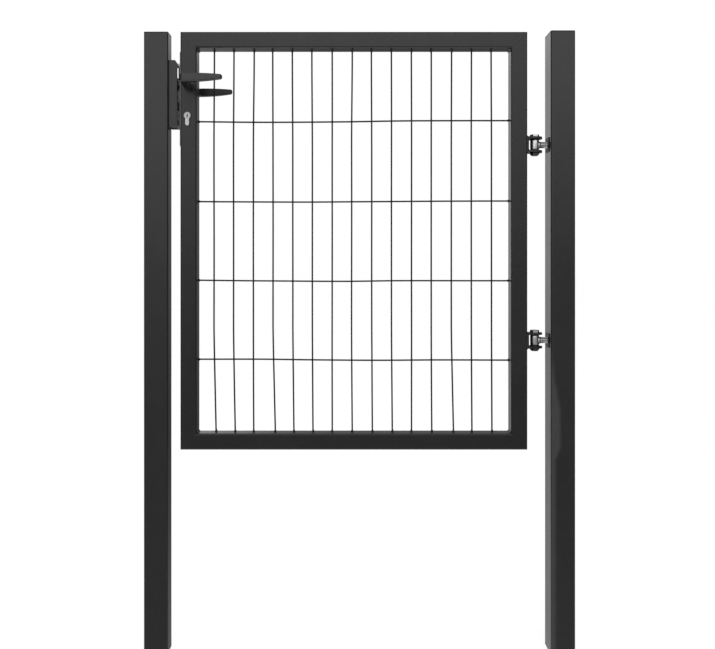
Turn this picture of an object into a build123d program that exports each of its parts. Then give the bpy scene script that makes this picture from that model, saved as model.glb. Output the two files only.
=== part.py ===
from build123d import *
from math import sin, cos, tan, radians, pi, sqrt
import os

os.makedirs("parts", exist_ok=True)

# Single-leaf welded-mesh gate between two posts. Millimetres.
# X runs from the lock post to the hinge post, Y into the picture, Z up.
# Origin: ground point midway between the two post feet.

# ---------------------------------------------------------------- dimensions
OVERALL_W = 1060.0          # over both posts
POST_W, POST_D = 60.0, 40.0  # lock post
HINGE_POST_D = 60.0         # the hinge post is square
POST_H = 1530.0             # with cap
WALL = 2.0                  # tube wall
TUBE_R = 4.0                # outer corner radius of the tubes
CAP_T = 3.0                 # cap plate

LEAF_W, LEAF_H = 855.0, 1030.0
TUBE = 40.0                 # leaf frame tube, square
LOCK_GAP = 30.0             # leaf to lock post

WIRE_D = 4.0
MESH_X, MESH_Z = 50.0, 200.0
MESH_SHIFT = -4.5           # the mesh sits this far off the leaf's middle
MESH_TOP = 1315.8           # uppermost cross wire
# how far each upright stands off its pitch
MESH_OFF = (5.2, 3.9, 3.4, 2.7, 2.1, 0.7, 0.4, -0.9, -0.8, -1.3, -1.2, -2.0, -1.7, -1.8, -1.4)
WIRE_V_Y = 9.0              # plane of the upright wires
WELD_SINK = 0.4             # wires melt this far into each other

HINGE_Z = (1253.5, 768.5)   # hinge centres
HINGE_X = 437.0             # hinge axis
EYE_R, EYE_H = 11.0, 25.0
PIN_R = 6.0
RUN = 0.05                  # running clearance on the radius
SHANK_R = 8.0
EAR_T, EAR_R = 5.0, 18.5
WASHER_T = 1.5
AXIAL_GAP = 0.3             # washer to eye
HEX_AF = 20.0
HEAD_H, NUT_H = 6.2, 7.6     # hinge pin's head and nut
PAD_T, PAD_W, PAD_H = 2.0, 32.0, 36.0

LOCK_X = -422.0             # spindle and cylinder axes
SPINDLE_Z = 1395.0
CYL_Z = 1323.0
SQUARE = 8.0
BUSH_R, BUSH_FLANGE_R = 9.4, 10.6
FOREND = (3.0, 24.0, 235.0) # thickness, width, height
FOREND_Z = 1366.5           # middle of the forend
CASE_Y = 8.0                # half thickness of the lock case
CASE_T = 1.5
CASE_Z = (1286.0, 1434.0)
CASE_BACK = -404.0

LATCH_Z = (1400.0, 1412.0)
LATCH_W = 12.0
LATCH_OUT = 14.0
BOLT_Z = (1340.0, 1360.0)
BOLT_W = 10.0
BOLT_LEN = 34.0
BOLT_FOOT = 12.5            # length of the foot under the bolt's tail

CYL_R, CYL_STEM_W, CYL_TOTAL = 8.5, 10.0, 33.0
CYL_HALF = 24.0
PLUG_R = 6.5
CAM_R, CAM_LUG_R, CAM_HALF = 7.9, 12.5, 4.7

KEEP_Z = (1296.0, 1462.0)
KEEP_Y = (-12.0, 10.0)      # front and rear of the keep's box
KEEP_DEPTH_X = 21.0
LIP_Y = (20.4, 23.4)
LIP_X = -434.0

# ---------------------------------------------------------------- derived
PX = OVERALL_W / 2 - POST_W / 2              # post centre
POST_IN = OVERALL_W / 2 - POST_W             # inner face of each post
LX0 = -POST_IN + LOCK_GAP                    # leaf's lock edge
LX1 = LX0 + LEAF_W                           # leaf's hinge edge
LZ1 = POST_H
LZ0 = POST_H - LEAF_H
MESH_CX = (LX0 + LX1) / 2 + MESH_SHIFT
WIRE_H_Y = WIRE_V_Y + WIRE_D - WELD_SINK
EAR_IN = EYE_H / 2 + AXIAL_GAP + WASHER_T    # ear's inner face from the hinge centre
EAR_OUT = EAR_IN + EAR_T
H = TUBE / 2


def finish(builder, name):
    builder.part.label = name
    export_step(builder.part, "parts/" + name + ".step")


# ================================================================= the posts
with BuildPart() as lock_post:
    with BuildSketch(Plane.XY):
        with Locations((-PX, 0)):
            RectangleRounded(POST_W, POST_D, TUBE_R)
            RectangleRounded(POST_W - 2 * WALL, POST_D - 2 * WALL, TUBE_R - WALL, mode=Mode.SUBTRACT)
    extrude(amount=POST_H - CAP_T)
    # two tapped holes for the keep in the inner wall
    with BuildSketch(Plane.YZ.offset(-POST_IN - WALL - 1)):
        with Locations((2, KEEP_Z[0] + 14), (2, KEEP_Z[1] - 22)):
            Circle(2.5)
    extrude(amount=WALL + 2, mode=Mode.SUBTRACT)
finish(lock_post, "lock_post")

with BuildPart() as hinge_post:
    with BuildSketch(Plane.XY):
        with Locations((PX, 0)):
            RectangleRounded(POST_W, HINGE_POST_D, TUBE_R)
            RectangleRounded(POST_W - 2 * WALL, HINGE_POST_D - 2 * WALL, TUBE_R - WALL, mode=Mode.SUBTRACT)
    extrude(amount=POST_H - CAP_T)
    # holes for the hinge sockets in the inner wall
    with BuildSketch(Plane.YZ.offset(POST_IN - 1)):
        with Locations(*[(0, z) for z in HINGE_Z]):
            Circle(11.6)
    extrude(amount=WALL + 2, mode=Mode.SUBTRACT)
finish(hinge_post, "hinge_post")

with BuildPart() as post_caps:
    for side, depth in ((-1, POST_D), (1, HINGE_POST_D)):
        with BuildSketch(Plane.XY.offset(POST_H - CAP_T)):
            with Locations((side * PX, 0)):
                RectangleRounded(POST_W, depth, TUBE_R)
        extrude(amount=CAP_T)
        # push-in skirt
        with BuildSketch(Plane.XY.offset(POST_H - CAP_T)):
            with Locations((side * PX, 0)):
                RectangleRounded(POST_W - 2 * WALL - 0.6, depth - 2 * WALL - 0.6, TUBE_R - WALL)
                RectangleRounded(POST_W - 2 * WALL - 4.6, depth - 2 * WALL - 4.6, 0.6, mode=Mode.SUBTRACT)
        extrude(amount=-14)
    fillet(post_caps.edges().filter_by(Plane.XY).group_by(Axis.Z)[-1], 1.0)
finish(post_caps, "post_caps")

# ---------------------------------------------------------------- the keep
KX0 = -POST_IN
KX1 = -POST_IN + KEEP_DEPTH_X
with BuildPart() as strike_keep:
    # box with one slanted top corner
    with BuildSketch(Plane.XZ.offset(-KEEP_Y[0])):
        with BuildLine():
            Polyline((KX0, KEEP_Z[0]), (KX1, KEEP_Z[0]), (KX1, KEEP_Z[1] - 9.6), (KX1 - 5.7, KEEP_Z[1]), (KX0, KEEP_Z[1]), close=True)
        make_face()
    extrude(amount=-(KEEP_Y[1] - KEEP_Y[0]))
    # hollow inside, open at the rear and below
    with BuildSketch(Plane.XZ.offset(-KEEP_Y[0] - 2.5)):
        with BuildLine():
            Polyline((KX0 + 2.5, KEEP_Z[0] - 2), (KX1 - 2, KEEP_Z[0] - 2), (KX1 - 2, KEEP_Z[1] - 10.6), (KX1 - 7.0, KEEP_Z[1] - 2), (KX0 + 2.5, KEEP_Z[1] - 2), close=True)
        make_face()
    extrude(amount=-(KEEP_Y[1] - KEEP_Y[0]), mode=Mode.SUBTRACT)
    # flange along the post that carries the stop lip
    with BuildSketch(Plane.YZ.offset(KX0)):
        with Locations(((KEEP_Y[1] - 3 + LIP_Y[1]) / 2, sum(KEEP_Z) / 2)):
            Rectangle(LIP_Y[1] - KEEP_Y[1] + 3, KEEP_Z[1] - KEEP_Z[0])
    extrude(amount=2.5)
    # stop lip behind the leaf, with a window near its top
    with BuildSketch(Plane.XZ.offset(-LIP_Y[0])):
        with BuildLine():
            Polyline((KX0, KEEP_Z[0]), (LIP_X, KEEP_Z[0]), (LIP_X, KEEP_Z[1] - 3), (LIP_X - 3, KEEP_Z[1]), (KX0, KEEP_Z[1]), close=True)
        make_face()
        with Locations((KX1 - 8.7, 1436.5)):
            RectangleRounded(8.8, 29, 1.5, mode=Mode.SUBTRACT)
    extrude(amount=-(LIP_Y[1] - LIP_Y[0]))
    # slots for the latch and the bolt, and two openings that let a screwdriver in
    with BuildSketch(Plane.YZ.offset(KX1 - 3)):
        with Locations((0, sum(LATCH_Z) / 2)):
            RectangleRounded(LATCH_W + 3, LATCH_Z[1] - LATCH_Z[0] + 4, 1.0)
        with Locations((0, sum(BOLT_Z) / 2)):
            RectangleRounded(BOLT_W + 3, BOLT_Z[1] - BOLT_Z[0] + 4, 1.0)
        with Locations((2, KEEP_Z[0] + 14)):
            Circle(6.0)
        with Locations((KEEP_Y[0] / 2 + KEEP_Y[1] / 2 + 1.5, 1435.5)):
            Rectangle(KEEP_Y[1] - KEEP_Y[0] - 2, 33)
    extrude(amount=4, mode=Mode.SUBTRACT)
    # screw holes in the back wall
    with BuildSketch(Plane.YZ.offset(KX0 - 0.5)):
        with Locations((2, KEEP_Z[0] + 14), (2, KEEP_Z[1] - 22)):
            Circle(2.7)
    extrude(amount=3.5, mode=Mode.SUBTRACT)
    # eased long outer corners of the bent sheet
    fillet(strike_keep.edges().filter_by(Axis.Z).filter_by_position(Axis.X, KX1 - 0.1, KX1 + 0.1).filter_by_position(Axis.Y, KEEP_Y[0] - 0.1, KEEP_Y[0] + 0.1), 1.5)
    fillet(strike_keep.edges().filter_by(Axis.Z).filter_by_position(Axis.X, KX0 - 0.1, KX0 + 0.1).filter_by_position(Axis.Y, LIP_Y[1] - 0.1, LIP_Y[1] + 0.1), 1.5)
finish(strike_keep, "strike_keep")

with BuildPart() as keep_screws:
    for z in (KEEP_Z[0] + 14, KEEP_Z[1] - 22):
        # shank through the keep's back wall and the post wall, pointed end
        with BuildSketch(Plane.XZ.offset(-2)):
            with BuildLine():
                Polyline((KX0 + 6.3, z), (KX0 + 6.3, z + 3.2), (KX0 + 5.4, z + 4.6), (KX0 + 2.5, z + 5.0), (KX0 + 2.5, z + 2.5), (KX0 - 12, z + 2.5), (KX0 - 15.5, z), close=True)
            make_face()
        revolve(axis=Axis((KX0, 2, z), (1, 0, 0)))
        # cross recess
        with BuildSketch(Plane.YZ.offset(KX0 + 6.4)):
            with Locations((2, z)):
                Rectangle(4.4, 1.0)
                Rectangle(1.0, 4.4)
        extrude(amount=-1.9, mode=Mode.SUBTRACT)
finish(keep_screws, "keep_screws")

# ================================================================= hinges, post side
with BuildPart() as hinge_eye_upper:
    with BuildSketch(Plane.XY.offset(HINGE_Z[0] - EYE_H / 2)):
        with Locations((HINGE_X, 0)):
            Circle(EYE_R)
    extrude(amount=EYE_H)
    chamfer(hinge_eye_upper.edges().filter_by(GeomType.CIRCLE), 0.8)
    # shank into the post, with a turned shoulder at the eye
    with BuildSketch(Plane.XZ):
        with BuildLine():
            Polyline((HINGE_X + 5, HINGE_Z[0]), (HINGE_X + 5, HINGE_Z[0] + SHANK_R + 1.2), (HINGE_X + 10.2, HINGE_Z[0] + SHANK_R + 1.2),
                     (HINGE_X + 12.4, HINGE_Z[0] + SHANK_R), (POST_IN + 36.5, HINGE_Z[0] + SHANK_R), (POST_IN + 38, HINGE_Z[0] + SHANK_R - 1.5),
                     (POST_IN + 38, HINGE_Z[0]), close=True)
        make_face()
    revolve(axis=Axis((0, 0, HINGE_Z[0]), (1, 0, 0)))
    with BuildSketch(Plane.XY.offset(HINGE_Z[0] - EYE_H / 2 - 1)):
        with Locations((HINGE_X, 0)):
            Circle(PIN_R + RUN)
    extrude(amount=EYE_H + 2, mode=Mode.SUBTRACT)
finish(hinge_eye_upper, "hinge_eye_upper")

with BuildPart() as hinge_eye_lower:
    with Locations((0, 0, HINGE_Z[1] - HINGE_Z[0])):
        add(hinge_eye_upper.part)
finish(hinge_eye_lower, "hinge_eye_lower")

with BuildPart() as hinge_sockets:
    for z in HINGE_Z:
        with BuildSketch(Plane.YZ.offset(POST_IN - PAD_T)):
            with Locations((0, z)):
                RectangleRounded(PAD_W, PAD_H, 4)
        extrude(amount=PAD_T)
        with BuildSketch(Plane.YZ.offset(POST_IN)):
            with Locations((0, z)):
                Circle(11.5)
        extrude(amount=40)
        with BuildSketch(Plane.YZ.offset(POST_IN - PAD_T - 1)):
            with Locations((0, z)):
                Circle(SHANK_R + 0.02)
        extrude(amount=PAD_T + 42, mode=Mode.SUBTRACT)
    chamfer(hinge_sockets.edges().filter_by(Plane.YZ).filter_by_position(Axis.X, POST_IN - PAD_T - 0.01, POST_IN - PAD_T + 0.01), 0.8)
finish(hinge_sockets, "hinge_sockets")

# ================================================================= the leaf's frame
with BuildPart() as top_rail:
    with BuildSketch(Plane.YZ.offset(LX0)):
        with Locations((0, LZ1 - H)):
            RectangleRounded(TUBE, TUBE, TUBE_R)
            RectangleRounded(TUBE - 2 * WALL, TUBE - 2 * WALL, TUBE_R - WALL, mode=Mode.SUBTRACT)
    extrude(amount=LEAF_W)
    with BuildSketch(Plane.XZ):
        with BuildLine():
            Polyline((LX0, LZ1), (LX1, LZ1), (LX1 - TUBE, LZ1 - TUBE), (LX0 + TUBE, LZ1 - TUBE), close=True)
        make_face()
    extrude(amount=TUBE, both=True, mode=Mode.INTERSECT)
finish(top_rail, "top_rail")

with BuildPart() as bottom_rail:
    with BuildSketch(Plane.YZ.offset(LX0)):
        with Locations((0, LZ0 + H)):
            RectangleRounded(TUBE, TUBE, TUBE_R)
            RectangleRounded(TUBE - 2 * WALL, TUBE - 2 * WALL, TUBE_R - WALL, mode=Mode.SUBTRACT)
    extrude(amount=LEAF_W)
    with BuildSketch(Plane.XZ):
        with BuildLine():
            Polyline((LX0, LZ0), (LX1, LZ0), (LX1 - TUBE, LZ0 + TUBE), (LX0 + TUBE, LZ0 + TUBE), close=True)
        make_face()
    extrude(amount=TUBE, both=True, mode=Mode.INTERSECT)
    # drain hole in the underside
    with BuildSketch(Plane.XY.offset(LZ0 - 1)):
        with Locations((LX0 + 120, 0), (LX1 - 120, 0)):
            Circle(4)
    extrude(amount=WALL + 2, mode=Mode.SUBTRACT)
finish(bottom_rail, "bottom_rail")

with BuildPart() as hinge_stile:
    with BuildSketch(Plane.XY.offset(LZ0)):
        with Locations((LX1 - H, 0)):
            RectangleRounded(TUBE, TUBE, TUBE_R)
            RectangleRounded(TUBE - 2 * WALL, TUBE - 2 * WALL, TUBE_R - WALL, mode=Mode.SUBTRACT)
    extrude(amount=LEAF_H)
    with BuildSketch(Plane.XZ):
        with BuildLine():
            Polyline((LX1, LZ0), (LX1, LZ1), (LX1 - TUBE, LZ1 - TUBE), (LX1 - TUBE, LZ0 + TUBE), close=True)
        make_face()
    extrude(amount=TUBE, both=True, mode=Mode.INTERSECT)
finish(hinge_stile, "hinge_stile")

with BuildPart() as lock_stile:
    with BuildSketch(Plane.XY.offset(LZ0)):
        with Locations((LX0 + H, 0)):
            RectangleRounded(TUBE, TUBE, TUBE_R)
            RectangleRounded(TUBE - 2 * WALL, TUBE - 2 * WALL, TUBE_R - WALL, mode=Mode.SUBTRACT)
    extrude(amount=LEAF_H)
    with BuildSketch(Plane.XZ):
        with BuildLine():
            Polyline((LX0, LZ0), (LX0, LZ1), (LX0 + TUBE, LZ1 - TUBE), (LX0 + TUBE, LZ0 + TUBE), close=True)
        make_face()
    extrude(amount=TUBE, both=True, mode=Mode.INTERSECT)
    # pocket for the lock case and two holes for the forend screws, in the lock edge
    with BuildSketch(Plane.YZ.offset(LX0 - 1)):
        with Locations((0, sum(CASE_Z) / 2)):
            Rectangle(2 * CASE_Y + 0.6, CASE_Z[1] - CASE_Z[0] + 0.6)
        with Locations((0, FOREND_Z - FOREND[2] / 2 + 11), (0, FOREND_Z + FOREND[2] / 2 - 11)):
            Circle(2.5)
    extrude(amount=WALL + 2, mode=Mode.SUBTRACT)
    # spindle holes and cylinder holes through the front and rear walls
    with BuildSketch(Plane.XZ):
        with Locations((LOCK_X, SPINDLE_Z)):
            Circle(BUSH_R + 0.1)
        with Locations((LOCK_X, CYL_Z)):
            Circle(CYL_R + 0.3)
        with Locations((LOCK_X, CYL_Z - (CYL_TOTAL - CYL_R) / 2)):
            RectangleRounded(CYL_STEM_W + 0.6, CYL_TOTAL - CYL_R + 0.6, 4.0)
    extrude(amount=TUBE, both=True, mode=Mode.SUBTRACT)
finish(lock_stile, "lock_stile")

# ---------------------------------------------------------------- the mesh
V_X = [MESH_CX + MESH_X * (k - 7) + off for k, off in enumerate(MESH_OFF)]
H_Z = [MESH_TOP - MESH_Z * k for k in range(4)]
with BuildPart() as vertical_wires:
    with BuildSketch(Plane.XY.offset(LZ0 + TUBE)):
        with Locations(*[(x, WIRE_V_Y) for x in V_X]):
            Circle(WIRE_D / 2)
    extrude(amount=LEAF_H - 2 * TUBE)
finish(vertical_wires, "vertical_wires")

with BuildPart() as horizontal_wires:
    with BuildSketch(Plane.YZ.offset(LX0 + TUBE)):
        with Locations(*[(WIRE_H_Y, z) for z in H_Z]):
            Circle(WIRE_D / 2)
    extrude(amount=LEAF_W - 2 * TUBE)
finish(horizontal_wires, "horizontal_wires")

# ================================================================= hinges, leaf side
with BuildPart() as hinge_bracket_upper:
    # web against the stile
    with BuildSketch(Plane.YZ.offset(LX1)):
        with Locations((0, HINGE_Z[0])):
            Rectangle(2 * EAR_R, 2 * EAR_OUT)
    extrude(amount=4)
    # two ears with a round end about the pin
    for z0 in (HINGE_Z[0] + EAR_IN, HINGE_Z[0] - EAR_OUT):
        with BuildSketch(Plane.XY.offset(z0)):
            with Locations(((LX1 + HINGE_X) / 2, 0)):
                Rectangle(HINGE_X - LX1, 2 * EAR_R)
            with Locations((HINGE_X, 0)):
                Circle(EAR_R)
                Circle(PIN_R + 0.1, mode=Mode.SUBTRACT)
        extrude(amount=EAR_T)
    fillet(hinge_bracket_upper.edges().filter_by(Axis.Y).filter_by_position(Axis.X, LX1 + 3.9, LX1 + 4.1), 2.5)
finish(hinge_bracket_upper, "hinge_bracket_upper")

with BuildPart() as hinge_bracket_lower:
    with Locations((0, 0, HINGE_Z[1] - HINGE_Z[0])):
        add(hinge_bracket_upper.part)
finish(hinge_bracket_lower, "hinge_bracket_lower")

HEX_R = HEX_AF / 2 / cos(radians(30))
with BuildPart() as hinge_pins:
    for zc in HINGE_Z:
        top = zc + EAR_OUT + HEAD_H
        with BuildSketch(Plane.XY.offset(zc + EAR_OUT)):
            with Locations((HINGE_X, 0)):
                RegularPolygon(HEX_R, 6)
        extrude(amount=HEAD_H)
        # 30 degree crown on the head
        with BuildSketch(Plane.XZ):
            with BuildLine():
                Polyline((HINGE_X + HEX_AF / 2 - 0.3, top + 0.3), (HINGE_X + 13, top + 0.3), (HINGE_X + 13, top - (13 - HEX_AF / 2 + 0.3) * tan(radians(30)) + 0.3), close=True)
            make_face()
        revolve(axis=Axis((HINGE_X, 0, 0), (0, 0, 1)), mode=Mode.SUBTRACT)
        # shank
        with BuildSketch(Plane.XZ):
            with BuildLine():
                Polyline((HINGE_X, zc + EAR_OUT), (HINGE_X + PIN_R, zc + EAR_OUT), (HINGE_X + PIN_R, zc - EAR_OUT - NUT_H + 1.6), (HINGE_X + PIN_R - 1.2, zc - EAR_OUT - NUT_H + 0.4), (HINGE_X, zc - EAR_OUT - NUT_H + 0.4), close=True)
            make_face()
        revolve(axis=Axis((HINGE_X, 0, 0), (0, 0, 1)))
finish(hinge_pins, "hinge_pins")

with BuildPart() as hinge_nuts:
    for zc in HINGE_Z:
        top = zc - EAR_OUT
        with BuildSketch(Plane.XY.offset(top)):
            with Locations((HINGE_X, 0)):
                RegularPolygon(HEX_R, 6)
        extrude(amount=-NUT_H + 2.6)
        # 30 degree crown on the lower side
        with BuildSketch(Plane.XZ):
            with BuildLine():
                Polyline((HINGE_X + HEX_AF / 2 - 0.3, top - NUT_H + 2.3), (HINGE_X + 13, top - NUT_H + 2.3), (HINGE_X + 13, top - NUT_H + 2.3 + (13 - HEX_AF / 2 + 0.3) * tan(radians(30))), close=True)
            make_face()
        revolve(axis=Axis((HINGE_X, 0, 0), (0, 0, 1)), mode=Mode.SUBTRACT)
        # rounded locking collar
        with BuildSketch(Plane.XZ):
            with BuildLine():
                Polyline((HINGE_X, top - 4), (HINGE_X + 8.6, top - 4), (HINGE_X + 8.6, top - NUT_H + 1.6), (HINGE_X + 8.1, top - NUT_H + 0.5), (HINGE_X + 7.0, top - NUT_H), (HINGE_X, top - NUT_H), close=True)
            make_face()
        revolve(axis=Axis((HINGE_X, 0, 0), (0, 0, 1)))
        with BuildSketch(Plane.XY.offset(top + 1)):
            with Locations((HINGE_X, 0)):
                Circle(PIN_R)
        extrude(amount=-12, mode=Mode.SUBTRACT)
finish(hinge_nuts, "hinge_nuts")

with BuildPart() as hinge_washers:
    for zc in HINGE_Z:
        for z0 in (zc + EAR_IN - WASHER_T, zc - EAR_IN):
            with BuildSketch(Plane.XY.offset(z0)):
                with Locations((HINGE_X, 0)):
                    Circle(EYE_R + 0.8)
                    Circle(PIN_R + 0.2, mode=Mode.SUBTRACT)
            extrude(amount=WASHER_T)
finish(hinge_washers, "hinge_washers")

# ================================================================= the lock
with BuildPart() as lock_case:
    # tray: one broad side and a rim
    with BuildSketch(Plane.XZ.offset(-CASE_Y)):
        with Locations(((LX0 + CASE_BACK) / 2, sum(CASE_Z) / 2)):
            Rectangle(CASE_BACK - LX0, CASE_Z[1] - CASE_Z[0])
    extrude(amount=2 * CASE_Y - CASE_T)
    with BuildSketch(Plane.XZ.offset(-CASE_Y + CASE_T)):
        with Locations(((LX0 + CASE_BACK) / 2, sum(CASE_Z) / 2)):
            Rectangle(CASE_BACK - LX0 - 2 * CASE_T, CASE_Z[1] - CASE_Z[0] - 2 * CASE_T)
    extrude(amount=2 * CASE_Y, mode=Mode.SUBTRACT)
    # follower bearing and cylinder hole in the broad side
    with BuildSketch(Plane.XZ.offset(-CASE_Y - 1)):
        with Locations((LOCK_X, SPINDLE_Z)):
            Circle(6.5 + RUN)
        with Locations((LOCK_X, CYL_Z)):
            Circle(CYL_R + 0.3)
        with Locations((LOCK_X, CYL_Z - (CYL_TOTAL - CYL_R) / 2)):
            RectangleRounded(CYL_STEM_W + 0.6, CYL_TOTAL - CYL_R + 0.6, 4.0)
    extrude(amount=CASE_T + 2, mode=Mode.SUBTRACT)
    # latch, bolt and cylinder screw holes in the front rim
    with BuildSketch(Plane.YZ.offset(LX0 - 1)):
        with Locations((0, sum(LATCH_Z) / 2)):
            Rectangle(LATCH_W + 0.8, LATCH_Z[1] - LATCH_Z[0] + 0.8)
        with Locations((0, sum(BOLT_Z) / 2)):
            Rectangle(BOLT_W + 0.8, BOLT_Z[1] - BOLT_Z[0] + 0.8)
        with Locations((0, 1303.5)):
            Circle(2.7)
    extrude(amount=CASE_T + 2, mode=Mode.SUBTRACT)
finish(lock_case, "lock_case")

with BuildPart() as lock_case_cover:
    with BuildSketch(Plane.XZ.offset(CASE_Y - CASE_T)):
        with Locations(((LX0 + CASE_BACK) / 2, sum(CASE_Z) / 2)):
            Rectangle(CASE_BACK - LX0, CASE_Z[1] - CASE_Z[0])
        with Locations((LOCK_X, SPINDLE_Z)):
            Circle(6.5 + RUN, mode=Mode.SUBTRACT)
        with Locations((LOCK_X, CYL_Z)):
            Circle(CYL_R + 0.3, mode=Mode.SUBTRACT)
        with Locations((LOCK_X, CYL_Z - (CYL_TOTAL - CYL_R) / 2)):
            RectangleRounded(CYL_STEM_W + 0.6, CYL_TOTAL - CYL_R + 0.6, 4.0, mode=Mode.SUBTRACT)
    extrude(amount=CASE_T)
finish(lock_case_cover, "lock_case_cover")

FX0 = LX0 - FOREND[0]
FZ = (FOREND_Z - FOREND[2] / 2 + 11, FOREND_Z + FOREND[2] / 2 - 11)
with BuildPart() as lock_forend:
    with BuildSketch(Plane.YZ.offset(FX0)):
        with Locations((0, FOREND_Z)):
            RectangleRounded(FOREND[1], FOREND[2], 6)
        with Locations((0, sum(LATCH_Z) / 2)):
            Rectangle(LATCH_W + 0.7, LATCH_Z[1] - LATCH_Z[0] + 0.7, mode=Mode.SUBTRACT)
        with Locations((0, sum(BOLT_Z) / 2)):
            Rectangle(BOLT_W + 0.7, BOLT_Z[1] - BOLT_Z[0] + 0.7, mode=Mode.SUBTRACT)
    extrude(amount=FOREND[0])
    # countersunk screw holes
    for z in (FZ[0], FZ[1], 1303.5):
        with BuildSketch(Plane.XZ):
            with BuildLine():
                Polyline((FX0 - 0.5, z), (FX0 - 0.5, z + 5.0), (FX0 + 2.0, z + 2.5), (LX0 + 0.5, z + 2.5), (LX0 + 0.5, z), close=True)
            make_face()
        revolve(axis=Axis((0, 0, z), (1, 0, 0)), mode=Mode.SUBTRACT)
    chamfer(lock_forend.edges().filter_by(Plane.YZ).filter_by(GeomType.LINE).filter_by_position(Axis.X, FX0 - 0.01, FX0 + 0.01).filter_by(Axis.Z).sort_by(Axis.Y)[0], 0.5)
finish(lock_forend, "lock_forend")

with BuildPart() as forend_screws:
    for z in FZ:
        with BuildSketch(Plane.XZ):
            with BuildLine():
                Polyline((FX0 + 0.1, z), (FX0 + 0.1, z + 4.4), (FX0 + 2.0, z + 2.5), (LX0 + 9, z + 2.5), (LX0 + 11, z + 1), (LX0 + 11, z), close=True)
            make_face()
        revolve(axis=Axis((0, 0, z), (1, 0, 0)))
        with BuildSketch(Plane.YZ.offset(FX0 - 0.1)):
            with Locations((0, z)):
                Rectangle(4.0, 0.9)
                Rectangle(0.9, 4.0)
        extrude(amount=1.6, mode=Mode.SUBTRACT)
finish(forend_screws, "forend_screws")

# ---------------------------------------------------------------- profile cylinder
with BuildPart() as cylinder_body:
    with BuildSketch(Plane.XZ.offset(-CYL_HALF)):
        with Locations((LOCK_X, CYL_Z)):
            Circle(CYL_R)
        with Locations((LOCK_X, CYL_Z - (CYL_TOTAL - CYL_R) / 2)):
            RectangleRounded(CYL_STEM_W, CYL_TOTAL - CYL_R, 4.0)
        with Locations((LOCK_X, CYL_Z - 4)):
            Rectangle(CYL_STEM_W, 8)
        with Locations((LOCK_X, CYL_Z)):
            Circle(PLUG_R + RUN, mode=Mode.SUBTRACT)
    extrude(amount=2 * CYL_HALF)
    # slot for the cam
    with BuildSketch(Plane.XZ.offset(-5.1)):
        with Locations((LOCK_X, 1309.7 + 15)):
            Rectangle(30, 30)
    extrude(amount=10.2, mode=Mode.SUBTRACT)
    # tapped hole for the long fixing screw
    with BuildSketch(Plane.YZ.offset(LOCK_X - 10)):
        with Locations((0, 1303.5)):
            Circle(2.5)
    extrude(amount=20, mode=Mode.SUBTRACT)
    chamfer(cylinder_body.edges().filter_by(Plane.XZ).filter_by_position(Axis.Y, -CYL_HALF - 0.01, -CYL_HALF + 0.01).sort_by(Edge.length)[-3:], 0.4)
finish(cylinder_body, "cylinder_body")

with BuildPart() as cylinder_screw:
    with BuildSketch(Plane.XZ):
        with BuildLine():
            Polyline((FX0 + 0.1, 1303.5), (FX0 + 0.1, 1307.9), (FX0 + 2.0, 1306.0), (LOCK_X + 3.5, 1306.0), (LOCK_X + 4.5, 1305.0), (LOCK_X + 4.5, 1303.5), close=True)
        make_face()
    revolve(axis=Axis((0, 0, 1303.5), (1, 0, 0)))
    with BuildSketch(Plane.YZ.offset(FX0 - 0.1)):
        with Locations((0, 1303.5)):
            Rectangle(4.0, 0.9)
            Rectangle(0.9, 4.0)
    extrude(amount=1.6, mode=Mode.SUBTRACT)
finish(cylinder_screw, "cylinder_screw")

with BuildPart() as cylinder_plugs:
    for side in (-1, 1):
        with BuildSketch(Plane.XZ.offset(-side * CAM_HALF)):
            with Locations((LOCK_X, CYL_Z)):
                Circle(PLUG_R)
        extrude(amount=-side * (CYL_HALF + 0.3 - CAM_HALF))
        # keyway
        with BuildSketch(Plane.XZ.offset(-side * (CYL_HALF + 0.5))):
            with Locations((LOCK_X, CYL_Z - 0.6)):
                RectangleRounded(2.4, 8.4, 0.8)
            with Locations((LOCK_X + 0.7, CYL_Z - 1.6)):
                RectangleRounded(2.0, 2.6, 0.5)
        extrude(amount=side * 13, mode=Mode.SUBTRACT)
finish(cylinder_plugs, "cylinder_plugs")

with BuildPart() as cylinder_cam:
    with BuildSketch(Plane.XZ.offset(-CAM_HALF)):
        with Locations((LOCK_X, CYL_Z)):
            Circle(CAM_R)
        with Locations((LOCK_X, CYL_Z - CAM_LUG_R / 2)):
            Rectangle(7.6, CAM_LUG_R)
        with Locations((LOCK_X, CYL_Z)):
            Circle(CAM_LUG_R, mode=Mode.INTERSECT)
    extrude(amount=2 * CAM_HALF)
finish(cylinder_cam, "cylinder_cam")

# ---------------------------------------------------------------- bolts in the case
with BuildPart() as deadbolt:
    with BuildSketch(Plane.YZ.offset(FX0)):
        with Locations((0, sum(BOLT_Z) / 2)):
            RectangleRounded(BOLT_W, BOLT_Z[1] - BOLT_Z[0], 0.8)
    extrude(amount=BOLT_LEN)
    # foot that the cam's lug pushes on, with a notch between its two toes
    with BuildSketch(Plane.XZ):
        with Locations((FX0 + BOLT_LEN - BOLT_FOOT / 2, BOLT_Z[0] - 1)):
            Rectangle(BOLT_FOOT, 5)
        with Locations((FX0 + BOLT_LEN - BOLT_FOOT / 2, BOLT_Z[0] - 2.5)):
            Rectangle(5.5, 3.5, mode=Mode.SUBTRACT)
    extrude(amount=BOLT_W / 2, both=True)
finish(deadbolt, "deadbolt")

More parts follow.
